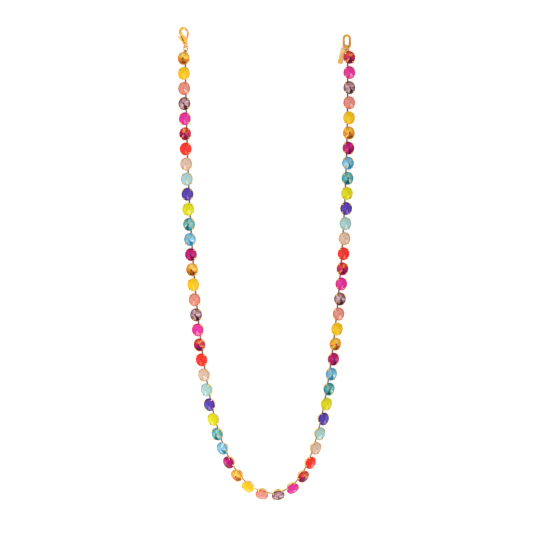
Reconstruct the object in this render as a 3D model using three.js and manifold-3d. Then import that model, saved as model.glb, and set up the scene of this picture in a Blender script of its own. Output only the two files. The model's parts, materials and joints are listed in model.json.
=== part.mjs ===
// Jewelled cup-chain strap for eyeglasses, laid flat in a loop. Millimetres, +Z up.
// The chain is walked cup by cup: each step turns a little, and the two strands meet in a tight bend.
// Each cup has its own frame: X along the chain, Z out of the stone's face, origin at link level.

import * as THREE from 'three';
import { mergeVertices } from 'three/addons/utils/BufferGeometryUtils.js';
import Module from 'manifold-3d';

const wasm = await Module();
wasm.setup();

// ---- Driving dimensions ------------------------------------------------------------------------

const CUP_COUNT = 62;
const PITCH = 10.08;              // centre to centre along the chain
const CUPS_PER_GROUP = 3;         // cups joined into one node on the straight strands
const CUPS_PER_BEND_GROUP = 2;    // cups joined into one node round the bend
const SIDE_GROUPS = 7;            // groups of three on each strand
const BEND_GROUPS = 9;            // groups of two between them

// The loop's route: the first heading, then a turn at every link.
const START = new THREE.Vector2(-54.295, 136.965);
const START_HEADING = -89.3;      // degrees from +X, so the first strand runs down the page
const BEND_CENTRE = 31.07;        // where the bend is sharpest, counted in cups from the clasp
const BEND_PEAK = 29.2;           // sharpest turn at one link, degrees
const BEND_WIDTH_CLASP_SIDE = 2.5;
const BEND_WIDTH_RING_SIDE = 1.73;
const BEND_FALL = 2.3;            // how steeply the turn fades away from the bend
const BOW_CLASP_SIDE = 0.09;      // steady turn of each strand, degrees a link
const BOW_RING_SIDE = 0.25;

// Cups lean outwards: a little on the strands, much more round the bend.
const LEAN_STRAND = 22;
const LEAN_BEND_EXTRA = 18;
const LEAN_WIDTH = 10;

// One cup, measured from link level.
const BASE_Z = -0.7;
const BASE_R = 3.5;
const WALL_TOP_Z = 2.4;
const WALL_TOP_R = 4.2;
const RIM_Z = 3.0;
const RIM_R = 4.3;
const CROWN_Z = 3.2;
const CROWN_R = 3.9;
const APEX_Z = 4.25;
const CUP_SIDES = 14;

// The flat link between two cups, with a cross head at each end held in a pocket of the cup.
const LINK_WIDTH = 0.66;
const LINK_THICK = 0.45;
const PIVOT_R = 2.45;             // head centre, from the cup's axis
const HEAD_WIDTH = 2.3;
const HEAD_LENGTH = 0.6;
const POCKET_X = [1.9, 2.95];
const POCKET_HALF_WIDTH = 1.55;
const POCKET_Z = [-0.5, 1.0];
const SLOT_HALF_WIDTH = 1.0;
const SLOT_Z = [-1.2, 1.0];
const SLOT_REACH = 4.6;

// End cups are hollow, with a loose-cut stone, four prongs and a loop.
const END_CUP_SIDES = 24;
const CUP_WALL = 0.4;
const CUP_FLOOR = 0.22;
const SEAT_GAP = 0.12;
const GIRDLE_HALF = 0.2;
const GIRDLE_Z = 2.75;
const CULET_Z = 0.75;
const PRONG_WIDTH = 0.9;
const PRONG_DEPTH = 0.42;
const PRONG_TOP_Z = 3.3;
const LOOP_R = 0.95;
const LOOP_WIRE = 0.28;
const LOOP_REACH = 4.75;          // loop centre from the cup's axis

// Clasp. Its own frame: origin at the eye's centre, +Y towards the hook, Z through its thickness.
const CLASP_THICK = 2.6;
const CLASP_EDGE = 0.3;           // rounding of the hook's edges
const CLASP_EYE_THICK = 0.9;
const CLASP_EYE_R = 1.5;
const CLASP_EYE_SHOULDER = 0.93;  // where the body grows to its full thickness
const CLASP_EYE_HOLE_R = 1.02;
const CLASP_SLOT = 1.1;
const LEVER_THICK = 0.86;
const LEVER_PIVOT = new THREE.Vector2(-0.8, 2.2);
const PIN_R = 0.34;
const PIN_HOLE_R = 0.42;
const CLASP_Z = 1.65;             // height of the clasp's middle plane above the table
const CLASP_TURN = 4;             // degrees, in the plane of the table

const CLASP_RING_R = 1.9;
const CLASP_RING_WIRE = 0.35;
const CLASP_RING_LEAN = 52;       // degrees up from the table, leaning the way the cup leans

// The other end: an oval link, a ring to the last cup, and a tag on a ring of its own.
const CLASP_RING_OFFSET = new THREE.Vector3(0.25, 2.0, -0.1);   // from the end cup's loop
const CLASP_OFFSET = new THREE.Vector2(0.25, 1.8);              // eye, from its ring's centre
const END_RING_OFFSET = new THREE.Vector3(0, 1.75, -0.04);
const OVAL_OFFSET = new THREE.Vector3(-0.5, 0.35, -0.2);        // foot, from its ring's centre
const OVAL_HALF_WIDTH = 2.1;      // to the middle of the wire
const OVAL_HALF_LENGTH = 4.2;
const OVAL_WIRE = 0.75;
const END_RING_R = 1.85;
const END_RING_WIRE = 0.28;
const END_RING_LEAN = 60;
const TAG_RING_R = 1.85;
const TAG_RING_LEAN = 49;
const TAG_RING_AT = 45;           // where it hangs on the oval link, degrees round from its foot
const TAG_RING_AIM = -120;        // which way it points, degrees from +X
const TAG_RING_WIRE = 0.26;
const TAG_RING_OFFSET = new THREE.Vector3(0.05, -0.33, -0.08);   // from the wire it hangs on
const TAG_WIDTH = 3.5;
const TAG_LENGTH = 10.6;
const TAG_THICK = 0.5;
const TAG_CORNER = 0.9;
const TAG_SCALLOP = 0.6;         // depth of the two lobes along its foot
const TAG_HOLE_R = 0.7;
const TAG_HOLE_INSET = 1.08;
const TAG_LEAN = 14;              // degrees, from the loop's length

const rad = THREE.MathUtils.degToRad;

// ---- Materials ---------------------------------------------------------------------------------

const GOLD = { color: 0xd9a441, roughness: 0.25, metalness: 1 };
const STEEL = { color: 0x8a8a86, roughness: 0.35, metalness: 1 };
const STONE = { roughness: 0.08, metalness: 0 };

// One colour of stone after another, fourteen to the repeat.
const STONE_COLOURS = [0xf0a018, 0xfacb04, 0xec9a86, 0xd9aeb4, 0xec2fa2, 0xd83a4a, 0xfa3c38,
  0xe6c4ae, 0xb3d4cb, 0x6046b4, 0xe9e002, 0x4fa8a6, 0x92c4d8, 0xb81268];

// ---- Manifold helpers --------------------------------------------------------------------------

function toSolid(geometry) {
  const bare = geometry.clone();
  bare.deleteAttribute('normal');
  bare.deleteAttribute('uv');
  const merged = mergeVertices(bare, 1e-4);
  return new wasm.Manifold(new wasm.Mesh({
    numProp: 3,
    vertProperties: new Float32Array(merged.attributes.position.array),
    triVerts: new Uint32Array(merged.index.array),
  }));
}

function toGeometry(solid) {
  const mesh = solid.getMesh();
  const geometry = new THREE.BufferGeometry();
  geometry.setAttribute('position', new THREE.BufferAttribute(new Float32Array(mesh.vertProperties), 3));
  geometry.setIndex(new THREE.BufferAttribute(new Uint32Array(mesh.triVerts), 1));
  const flat = geometry.toNonIndexed();
  flat.computeVertexNormals();
  return flat;
}

function union(geometries) {
  let solid = toSolid(geometries[0]);
  for (const geometry of geometries.slice(1)) {
    solid = solid.add(toSolid(geometry));
  }
  return solid;
}

// ---- Small shapes ------------------------------------------------------------------------------

function boxBetween(x, y, z) {
  const box = new THREE.BoxGeometry(x[1] - x[0], y[1] - y[0], z[1] - z[0]);
  return box.translate((x[0] + x[1]) / 2, (y[0] + y[1]) / 2, (z[0] + z[1]) / 2);
}

// A turned solid about Z, from its outline as [radius, height] pairs.
function turned(profile, sides) {
  const points = profile.map(([r, z]) => new THREE.Vector2(r, z));
  const lathe = new THREE.LatheGeometry(points, sides);
  return lathe.rotateX(Math.PI / 2);
}

function upright(radius, height, sides) {
  const cylinder = new THREE.CylinderGeometry(radius, radius, height, sides);
  return cylinder.rotateX(Math.PI / 2);
}

// A round or stretched wire ring lying in XY, long side along Y.
function wireRing(halfWidth, halfLength, wire, segments, sides) {
  const ring = new THREE.TorusGeometry(halfWidth, wire, sides, segments);
  ring.rotateZ(Math.PI / segments);
  const stretch = halfLength - halfWidth;
  const position = ring.attributes.position;
  for (let i = 0; i < position.count; i += 1) {
    position.setY(i, position.getY(i) + Math.sign(position.getY(i)) * stretch);
  }
  return ring;
}

// Extrudes an outline evenly about Z = 0.
function plate(shape, thickness, bevel = 0) {
  const geometry = new THREE.ExtrudeGeometry(shape, {
    depth: thickness - 2 * bevel,
    bevelEnabled: bevel > 0,
    bevelThickness: bevel,
    bevelSize: bevel,
    bevelOffset: -bevel,
    bevelSegments: 2,
    curveSegments: 5,
  });
  return geometry.translate(0, 0, -(thickness - 2 * bevel) / 2);
}

function smoothOutline(points, pieces) {
  const curve = new THREE.CatmullRomCurve3(points.map(([x, y]) => new THREE.Vector3(x, y, 0)), true);
  return curve.getPoints(pieces).slice(0, -1).map((p) => new THREE.Vector2(p.x, p.y));
}

// The outline of a thin strip that follows a line of points.
function strip(points, halfWidth) {
  const middle = points.map(([x, y]) => new THREE.Vector2(x, y));
  const side = (sign) => middle.map((point, i) => {
    const along = middle[Math.min(i + 1, middle.length - 1)].clone().sub(middle[Math.max(i - 1, 0)]);
    const across = new THREE.Vector2(-along.y, along.x).normalize();
    return point.clone().addScaledVector(across, sign * halfWidth);
  });
  return new THREE.Shape([...side(-1), ...side(1).reverse()]);
}

// ---- The route of the chain --------------------------------------------------------------------

function turnAtLink(k) {
  const claspSide = k < BEND_CENTRE;
  const width = claspSide ? BEND_WIDTH_CLASP_SIDE : BEND_WIDTH_RING_SIDE;
  const bow = claspSide ? BOW_CLASP_SIDE : BOW_RING_SIDE;
  return bow + BEND_PEAK / (1 + Math.abs((k - BEND_CENTRE) / width) ** BEND_FALL);
}

function leanOfCup(i) {
  return LEAN_STRAND + LEAN_BEND_EXTRA * Math.exp(-(((i - BEND_CENTRE) / LEAN_WIDTH) ** 2));
}

// Walks the chain and returns one frame for each cup.
function chainFrames() {
  const headings = [];
  let heading = START_HEADING;
  for (let k = 0; k < CUP_COUNT - 1; k += 1) {
    const turn = turnAtLink(k + 0.5);
    headings.push(heading + turn / 2);
    heading += turn;
  }
  const frames = [];
  const place = START.clone();
  for (let i = 0; i < CUP_COUNT; i += 1) {
    const before = headings[Math.max(i - 1, 0)];
    const after = headings[Math.min(i, CUP_COUNT - 2)];
    const lean = rad(leanOfCup(i));
    // The base's outer edge rests on the table.
    const height = BASE_R * Math.sin(lean) - BASE_Z * Math.cos(lean);
    const matrix = new THREE.Matrix4().makeTranslation(place.x, place.y, height);
    matrix.multiply(new THREE.Matrix4().makeRotationZ(rad((before + after) / 2)));
    matrix.multiply(new THREE.Matrix4().makeRotationX(lean));
    frames.push(matrix);
    place.x += PITCH * Math.cos(rad(after));
    place.y += PITCH * Math.sin(rad(after));
  }
  return frames;
}

const FRAMES = chainFrames();

function pointOn(i, x) {
  return new THREE.Vector3(x, 0, 0).applyMatrix4(FRAMES[i]);
}

// A frame whose X axis runs from one point to another, and whose Z is the mean of two cups' faces.
function frameBetween(from, to, i, j) {
  const x = to.clone().sub(from).normalize();
  const zi = new THREE.Vector3().setFromMatrixColumn(FRAMES[i], 2);
  const zj = new THREE.Vector3().setFromMatrixColumn(FRAMES[j], 2);
  const mean = zi.add(zj);
  const y = mean.cross(x).normalize();
  const z = x.clone().cross(y);
  const matrix = new THREE.Matrix4().makeBasis(x, y, z);
  matrix.setPosition(from.clone().add(to).multiplyScalar(0.5));
  return matrix;
}

// ---- Cups, stones and links --------------------------------------------------------------------

function plainCup() {
  return turned([[0, BASE_Z], [BASE_R, BASE_Z], [WALL_TOP_R, WALL_TOP_Z], [RIM_R, RIM_Z],
    [CROWN_R, CROWN_Z], [0, APEX_Z]], CUP_SIDES);
}

// What is cut away so that a link's head can turn inside the cup; side is +1 or -1 along X.
function pocketTool(side) {
  const pocket = boxBetween(POCKET_X, [-POCKET_HALF_WIDTH, POCKET_HALF_WIDTH], POCKET_Z);
  const slot = boxBetween([POCKET_X[1] - 0.1, SLOT_REACH], [-SLOT_HALF_WIDTH, SLOT_HALF_WIDTH], SLOT_Z);
  const tool = union([pocket, slot]);
  return side > 0 ? tool : tool.rotate([0, 0, 180]);
}

function placed(solid, matrix) {
  return toSolid(toGeometry(solid).applyMatrix4(matrix));
}

function groupSolid(first, last) {
  const parts = [];
  for (let i = first; i <= last; i += 1) {
    parts.push(plainCup().applyMatrix4(FRAMES[i]));
  }
  for (let i = first; i < last; i += 1) {
    const from = pointOn(i, PIVOT_R);
    const to = pointOn(i + 1, -PIVOT_R);
    const bar = new THREE.BoxGeometry(from.distanceTo(to), LINK_WIDTH, LINK_THICK);
    parts.push(bar.applyMatrix4(frameBetween(from, to, i, i + 1)));
  }
  let solid = union(parts);
  solid = solid.subtract(placed(pocketTool(-1), FRAMES[first]));
  return solid.subtract(placed(pocketTool(1), FRAMES[last]));
}

function linkSolid(i) {
  const from = pointOn(i, PIVOT_R);
  const to = pointOn(i + 1, -PIVOT_R);
  const length = from.distanceTo(to);
  const bar = new THREE.BoxGeometry(length, LINK_WIDTH, LINK_THICK);
  const headA = new THREE.BoxGeometry(HEAD_LENGTH, HEAD_WIDTH, LINK_THICK).translate(-length / 2, 0, 0);
  const headB = new THREE.BoxGeometry(HEAD_LENGTH, HEAD_WIDTH, LINK_THICK).translate(length / 2, 0, 0);
  return placed(union([bar, headA, headB]), frameBetween(from, to, i, i + 1));
}

// A hollow cup with four prongs, a slot for its link and a loop on the other side.
function endCup(linkSide) {
  const floor = BASE_Z + CUP_FLOOR;
  const shell = turned([[0, BASE_Z], [BASE_R, BASE_Z], [WALL_TOP_R, WALL_TOP_Z],
    [WALL_TOP_R - CUP_WALL, WALL_TOP_Z], [BASE_R - CUP_WALL, floor], [0, floor]], END_CUP_SIDES);
  const prongs = [45, 135, 225, 315].map((angle) => {
    const prong = boxBetween([WALL_TOP_R - 0.32, WALL_TOP_R - 0.32 + PRONG_DEPTH],
      [-PRONG_WIDTH / 2, PRONG_WIDTH / 2], [0.6, PRONG_TOP_Z]);
    return prong.rotateZ(rad(angle));
  });
  const loop = new THREE.TorusGeometry(LOOP_R, LOOP_WIRE, 8, 18).translate(-linkSide * LOOP_REACH, 0, 0);
  const slot = boxBetween([POCKET_X[1] - 0.2, SLOT_REACH], [-SLOT_HALF_WIDTH, SLOT_HALF_WIDTH],
    [floor, SLOT_Z[1]]);
  const cut = linkSide > 0 ? slot : slot.rotateZ(Math.PI);
  return union([shell, ...prongs, loop]).subtract(toSolid(cut)).subtract(toSolid(endStoneRoom()));
}

function stoneProfile(grow) {
  const r = WALL_TOP_R - CUP_WALL - SEAT_GAP + grow;
  return [[0, CULET_Z - grow], [r, GIRDLE_Z - GIRDLE_HALF - grow], [r, GIRDLE_Z + GIRDLE_HALF + grow],
    [0, APEX_Z + grow]];
}

function endStone() {
  return turned(stoneProfile(0), CUP_SIDES);
}

// The stone with its clearance, cut out of the prongs so that they close over its edge.
function endStoneRoom() {
  return turned(stoneProfile(SEAT_GAP * 0.8), CUP_SIDES);
}

// ---- Clasp -------------------------------------------------------------------------------------

function claspBody() {
  const outline = new THREE.Shape(smoothOutline([[0.95, -0.1], [0.95, 1.4], [0.9, 3.0], [1.35, 4.6],
    [2.15, 6.3], [2.55, 8.3], [2.15, 10.2], [1.05, 11.8], [-0.7, 12.8], [-2.5, 12.5], [-3.75, 11.2],
    [-4.2, 9.4], [-3.9, 7.8], [-3.1, 6.1], [-2.3, 4.4], [-2.0, 2.9], [-1.9, 1.6], [-1.25, 0.4],
    [-0.9, -0.3]], 48));
  outline.holes.push(new THREE.Path(smoothOutline([[0.6, 5.3], [-0.5, 6.3], [-1.6, 7.5], [-2.4, 8.8],
    [-2.5, 10.1], [-1.6, 11.2], [-0.3, 11.3], [0.8, 10.3], [1.35, 8.7], [1.2, 7.0]], 28)));
  let solid = toSolid(plate(outline, CLASP_THICK, CLASP_EDGE));
  // The eye is thinner than the body, so the body is trimmed round it first.
  const trimX = [-2 * CLASP_EYE_R, 2 * CLASP_EYE_R];
  const trimY = [-2 * CLASP_EYE_R, CLASP_EYE_SHOULDER];
  const top = boxBetween(trimX, trimY, [CLASP_EYE_THICK / 2, CLASP_THICK]);
  const under = boxBetween(trimX, trimY, [-CLASP_THICK, -CLASP_EYE_THICK / 2]);
  solid = solid.subtract(toSolid(top)).subtract(toSolid(under));
  solid = solid.add(toSolid(upright(CLASP_EYE_R, CLASP_EYE_THICK, 24)));
  solid = solid.subtract(toSolid(upright(CLASP_EYE_HOLE_R, CLASP_THICK + 1, 20)));
  // The mouth, where the gate closes on the hook's tip.
  const mouth = new THREE.Shape([[-0.35, 3.0], [2.6, 2.4], [2.6, 4.35], [0.8, 4.35], [0.8, 6.2],
    [-0.35, 6.2]].map(([x, y]) => new THREE.Vector2(x, y)));
  solid = solid.subtract(toSolid(plate(mouth, CLASP_THICK + 1)));
  // The slot in the middle plane, where the lever swings.
  const swing = new THREE.Shape([[-6, 1.15], [3, 1.15], [3, 4.3], [0.82, 4.35], [0.8, 6.6],
    [-2.0, 6.6], [-2.9, 6.9], [-6, 6.9]].map(([x, y]) => new THREE.Vector2(x, y)));
  solid = solid.subtract(toSolid(plate(swing, CLASP_SLOT)));
  const pinHole = upright(PIN_HOLE_R, CLASP_THICK + 1, 16).translate(LEVER_PIVOT.x, LEVER_PIVOT.y, 0);
  return solid.subtract(toSolid(pinHole));
}

// Hub on the pin, gate up to the hook's tip, and a thumb tab that stands out on the other side.
function claspLever() {
  const outline = new THREE.Shape([[-1.45, 1.75], [-0.8, 1.4], [-0.1, 1.7], [0.45, 2.7], [0.62, 3.6],
    [0.64, 5.2], [0.2, 5.5], [-0.12, 5.0], [-0.3, 3.6], [-0.75, 2.95], [-1.4, 3.0], [-2.1, 3.9],
    [-3.1, 5.5], [-4.3, 6.35], [-4.9, 6.7], [-5.0, 6.3], [-4.2, 5.3], [-3.3, 4.0], [-2.5, 2.7]]
    .map(([x, y]) => new THREE.Vector2(x, y)));
  let solid = toSolid(plate(outline, LEVER_THICK));
  const hole = upright(PIN_HOLE_R, CLASP_THICK, 16).translate(LEVER_PIVOT.x, LEVER_PIVOT.y, 0);
  solid = solid.subtract(toSolid(hole));
  // The thumb tab is as thick as the body, outside it.
  const tab = boxBetween([-5.05, -4.15], [5.9, 6.75], [-CLASP_THICK / 3, CLASP_THICK / 3]);
  return solid.add(toSolid(tab));
}

// A bent strip in the slot above the hub: it pushes the gate against the hook's tip.
function claspSpring() {
  const outline = strip([[-1.4, 3.4], [-1.05, 3.2], [-0.7, 3.35], [-0.6, 4.2], [-0.9, 5.4]], 0.07);
  return toSolid(plate(outline, LEVER_THICK * 0.8));
}

// ---- Tag ---------------------------------------------------------------------------------------

function tagSolid() {
  const half = TAG_WIDTH / 2;
  const top = TAG_HOLE_INSET;
  const foot = TAG_HOLE_INSET - TAG_LENGTH;
  const shape = new THREE.Shape();
  shape.moveTo(-half, top - TAG_CORNER);
  shape.lineTo(-half, foot);
  shape.quadraticCurveTo(-half / 2, foot - TAG_SCALLOP, 0, foot);
  shape.quadraticCurveTo(half / 2, foot - TAG_SCALLOP, half, foot);
  shape.lineTo(half, top - TAG_CORNER);
  shape.absarc(half - TAG_CORNER, top - TAG_CORNER, TAG_CORNER, 0, Math.PI / 2);
  shape.absarc(-half + TAG_CORNER, top - TAG_CORNER, TAG_CORNER, Math.PI / 2, Math.PI);
  const hole = upright(TAG_HOLE_R, TAG_THICK + 1, 20);
  return toSolid(plate(shape, TAG_THICK)).subtract(toSolid(hole));
}

// ---- Assembly ----------------------------------------------------------------------------------

const strap = new THREE.Group();

function addMesh(parent, name, geometry, finish) {
  const mesh = new THREE.Mesh(geometry, new THREE.MeshStandardMaterial(finish));
  mesh.name = name;
  parent.add(mesh);
  return mesh;
}

function stoneFinish(i) {
  return { ...STONE, color: STONE_COLOURS[i % STONE_COLOURS.length] };
}

const sizes = [
  ...Array(SIDE_GROUPS).fill(CUPS_PER_GROUP),
  ...Array(BEND_GROUPS).fill(CUPS_PER_BEND_GROUP),
  ...Array(SIDE_GROUPS).fill(CUPS_PER_GROUP),
];

function twoDigits(n) {
  return String(n).padStart(2, '0');
}

let cup = 1;
sizes.forEach((size, index) => {
  const name = twoDigits(index + 1);
  addMesh(strap, `cup_group_${name}`, toGeometry(groupSolid(cup, cup + size - 1)), stoneFinish(cup));
  addMesh(strap, `chain_link_${name}`, toGeometry(linkSolid(cup - 1)), GOLD);
  cup += size;
});
addMesh(strap, `chain_link_${twoDigits(sizes.length + 1)}`, toGeometry(linkSolid(CUP_COUNT - 2)), GOLD);

const last = CUP_COUNT - 1;
for (const [name, i, linkSide] of [['clasp_end', 0, 1], ['ring_end', last, -1]]) {
  addMesh(strap, `${name}_cup`, toGeometry(endCup(linkSide).transform(FRAMES[i].elements)), GOLD);
  addMesh(strap, `${name}_stone`, endStone().applyMatrix4(FRAMES[i]), stoneFinish(i));
}

// A ring that leans up from the table, its plane holding the line from one fitting to the next.
function leaningRing(name, radius, wire, centre, direction, lean) {
  const group = new THREE.Group();
  group.position.copy(centre);
  group.rotation.set(0, 0, Math.atan2(direction.y, direction.x) - Math.PI / 2);
  const tilted = new THREE.Group();
  tilted.rotation.y = rad(lean);
  group.add(tilted);
  addMesh(tilted, name, wireRing(radius, radius, wire, 20, 8), GOLD);
  strap.add(group);
}

// Clasp end: loop, ring, clasp.
const claspLoop = pointOn(0, -LOOP_REACH);
const claspRingCentre = claspLoop.clone().add(CLASP_RING_OFFSET);
leaningRing('clasp_jump_ring', CLASP_RING_R, CLASP_RING_WIRE, claspRingCentre,
  new THREE.Vector3(0, 1, 0), CLASP_RING_LEAN);

const clasp = new THREE.Group();
clasp.position.set(claspRingCentre.x + CLASP_OFFSET.x, claspRingCentre.y + CLASP_OFFSET.y, CLASP_Z);
clasp.rotation.z = rad(CLASP_TURN);
addMesh(clasp, 'clasp_body', toGeometry(claspBody()), GOLD);
addMesh(clasp, 'clasp_lever', toGeometry(claspLever()), GOLD);
addMesh(clasp, 'clasp_spring', toGeometry(claspSpring()), STEEL);
const pin = upright(PIN_R, CLASP_THICK - 0.2, 16).translate(LEVER_PIVOT.x, LEVER_PIVOT.y, 0);
addMesh(clasp, 'clasp_pivot_pin', pin, STEEL);
strap.add(clasp);

// Ring end: loop, ring, oval link, tag ring, tag.
const endLoop = pointOn(last, LOOP_REACH);
const endRingCentre = endLoop.clone().add(END_RING_OFFSET);
leaningRing('end_jump_ring', END_RING_R, END_RING_WIRE, endRingCentre,
  new THREE.Vector3(0, 1, 0), -END_RING_LEAN);

const ovalGroup = new THREE.Group();
const ovalFoot = endRingCentre.clone().add(OVAL_OFFSET);
const ovalTilt = Math.asin((ovalFoot.z - OVAL_WIRE) / (2 * OVAL_HALF_LENGTH));
ovalGroup.position.copy(ovalFoot);
ovalGroup.rotation.x = -ovalTilt;
const oval = wireRing(OVAL_HALF_WIDTH, OVAL_HALF_LENGTH, OVAL_WIRE, 24, 10);
addMesh(ovalGroup, 'oval_end_link', oval.translate(0, OVAL_HALF_LENGTH, 0), GOLD);
strap.add(ovalGroup);

// The tag's ring hangs on the side of the oval link's foot, and the tag lies down from it.
const around = rad(TAG_RING_AT);
const tagRingHook = new THREE.Vector3(-Math.sin(around), 1 - Math.cos(around), 0)
  .multiplyScalar(OVAL_HALF_WIDTH).add(ovalFoot);
const tagAim = new THREE.Vector3(Math.cos(rad(TAG_RING_AIM)), Math.sin(rad(TAG_RING_AIM)), 0);
const tagRingCentre = tagRingHook.clone().add(TAG_RING_OFFSET);
leaningRing('tag_jump_ring', TAG_RING_R, TAG_RING_WIRE, tagRingCentre, tagAim, TAG_RING_LEAN);

const tagGroup = new THREE.Group();
tagGroup.position.copy(tagRingCentre).addScaledVector(tagAim, TAG_RING_R + 0.12);
const tagFall = Math.asin((tagRingCentre.z - TAG_THICK) / (TAG_LENGTH - TAG_HOLE_INSET));
tagGroup.rotation.set(tagFall, 0, rad(-TAG_LEAN), 'ZXY');
addMesh(tagGroup, 'tag', toGeometry(tagSolid()), GOLD);
strap.add(tagGroup);

export default strap;
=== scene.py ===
# %% [markdown]
# # A crystal cup-chain strap for eyeglasses
# The real strap is a cup chain: sixty-two round pointed crystals, each pressed into a gold-plated
# cup with four claws and tied to the next cup by a small flat link. A lobster clasp closes one end,
# and an oval link with a plain tag hangs on the other. Here it lies flat on a table, folded in a U.
# The solid model with its joints already exists. This lesson gives each of its parts its real look.

import json
import math
import random

import bmesh
import bpy
from mathutils import Matrix, Vector


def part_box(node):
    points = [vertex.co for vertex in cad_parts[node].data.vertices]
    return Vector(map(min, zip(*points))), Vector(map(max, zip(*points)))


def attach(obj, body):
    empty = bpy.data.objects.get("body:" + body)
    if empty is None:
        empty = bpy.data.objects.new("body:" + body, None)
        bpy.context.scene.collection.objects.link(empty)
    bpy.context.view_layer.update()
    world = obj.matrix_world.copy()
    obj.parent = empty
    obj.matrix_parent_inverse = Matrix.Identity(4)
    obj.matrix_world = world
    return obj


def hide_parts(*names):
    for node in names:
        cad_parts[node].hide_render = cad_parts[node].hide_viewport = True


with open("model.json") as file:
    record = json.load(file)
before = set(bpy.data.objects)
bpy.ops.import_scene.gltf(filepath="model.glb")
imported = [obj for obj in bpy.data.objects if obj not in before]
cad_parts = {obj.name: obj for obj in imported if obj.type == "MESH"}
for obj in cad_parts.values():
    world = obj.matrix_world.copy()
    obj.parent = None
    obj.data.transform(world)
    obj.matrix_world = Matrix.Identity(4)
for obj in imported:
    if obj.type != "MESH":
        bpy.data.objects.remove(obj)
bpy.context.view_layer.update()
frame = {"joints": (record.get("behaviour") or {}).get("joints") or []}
scene = bpy.context.scene
MM = 0.001

# %% [markdown]
# ## Camera, table and light
# The strap is seen from straight above through a long lens, so that its two strands stay parallel.
# A wide softbox above fills the gold with an even pale reflection, a small strong one on the side
# of the bend makes the facets flash, a faint one lights the clasp side, and a dim grey room leaves
# darker edges on the metal. The table glows a little, like a light table, which thins the shadows.

# %% Camera
VIEW_CENTRE = Vector((0.0, -2.0, 0)) * MM
VIEW_SIDE = 357 * MM
VIEW_HEIGHT = 1.2
SENSOR = 36

camera_data = bpy.data.cameras.new("overhead_camera")
camera_data.sensor_width = SENSOR
camera_data.lens = SENSOR * VIEW_HEIGHT / VIEW_SIDE
camera = bpy.data.objects.new("overhead_camera", camera_data)
camera.location = VIEW_CENTRE + Vector((0, 0, VIEW_HEIGHT))
scene.collection.objects.link(camera)
scene.camera = camera
scene.view_settings.view_transform = "Standard"
print("lens:", round(camera_data.lens, 1), "mm")

# %% Colour and node helpers


def linear(hex_colour):
    """An sRGB hex colour as the linear red, green, blue and alpha that nodes take."""
    channels = [int(hex_colour[k:k + 2], 16) / 255 for k in (1, 3, 5)]
    return tuple(c / 12.92 if c <= 0.04045 else ((c + 0.055) / 1.055) ** 2.4 for c in channels) + (1.0,)


def add(tree, kind, inputs=None, **settings):
    """Adds one node. Inputs are values or output sockets, by the input's name or number."""
    node = tree.nodes.new(kind)
    for name, value in settings.items():
        setattr(node, name, value)
    for key, value in (inputs or {}).items():
        if isinstance(value, bpy.types.NodeSocket):
            tree.links.new(value, node.inputs[key])
        else:
            node.inputs[key].default_value = value
    return node


def blank_material(name):
    """A material with an empty node tree."""
    material = bpy.data.materials.new(name)
    material.use_nodes = True
    material.node_tree.nodes.clear()
    return material, material.node_tree


def set_ramp(node, stops):
    """Gives a colour ramp its stops, a list of positions and hex colours."""
    elements = node.color_ramp.elements
    for position, colour in stops[1:-1]:
        elements.new(position).color = linear(colour)
    elements[0].position, elements[0].color = stops[0][0], linear(stops[0][1])
    elements[-1].position, elements[-1].color = stops[-1][0], linear(stops[-1][1])


# %% Table and lights
TABLE_SIDE = 3.0
TABLE_GLOW = 0.5     # a light table's own glow, which thins the shadows

table_paint, tree = blank_material("matt_white_laminate_table")
place = add(tree, "ShaderNodeTexCoord")
speckle = add(tree, "ShaderNodeTexNoise", {"Vector": place.outputs["Object"], "Scale": 900.0})
tint = add(tree, "ShaderNodeMix", {0: speckle.outputs[0], 6: linear("#FAFAFA"), 7: linear("#FFFFFF")},
    data_type="RGBA")
shade = add(tree, "ShaderNodeBsdfPrincipled", {"Base Color": tint.outputs[2], "Roughness": 0.9,
    "Specular IOR Level": 0.1, "Emission Color": linear("#FFFFFF"), "Emission Strength": TABLE_GLOW})
add(tree, "ShaderNodeOutputMaterial", {"Surface": shade.outputs[0]})

corner = TABLE_SIDE / 2
table_mesh = bpy.data.meshes.new("table")
table_mesh.from_pydata([(-corner, -corner, 0), (corner, -corner, 0), (corner, corner, 0), (-corner, corner,
    0)], [], [(0, 1, 2, 3)])
table_mesh.materials.append(table_paint)
table = bpy.data.objects.new("table", table_mesh)
scene.collection.objects.link(table)

ROOM_GREY = 0.42
room = bpy.data.worlds.new("grey_studio")
room.use_nodes = True
room.node_tree.nodes["Background"].inputs["Color"].default_value = (1, 1, 1, 1)
room.node_tree.nodes["Background"].inputs["Strength"].default_value = ROOM_GREY
scene.world = room


def softbox(name, place, target, side, radiance):
    """A square softbox of a given brightness, whatever its size."""
    light = bpy.data.lights.new(name, "AREA")
    light.size = side
    light.energy = radiance * math.pi * side * side
    holder = bpy.data.objects.new(name, light)
    holder.location = place
    holder.rotation_euler = (Vector(target) - Vector(place)).to_track_quat("-Z", "Y").to_euler()
    scene.collection.objects.link(holder)


softbox("softbox_overhead", (0, 0.15, 1.9), (0, 0, 0), 2.0, 1.05)
softbox("softbox_bend_side", (-0.35, -0.95, 0.95), (0, 0, 0), 0.22, 36.0)
softbox("softbox_clasp_side", (-1.1, -0.1, 0.75), (0, 0, 0), 0.3, 5.0)

# %% [markdown]
# ## The route of the chain
# Cup chain has one real pitch, so its route is a row of equal steps. Each link turns a little
# more than the last one towards the bend and a little less after it, like the bell of a hanging
# chain. The cups also lean outwards, most of all at the bend, where the metal walls show.

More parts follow.
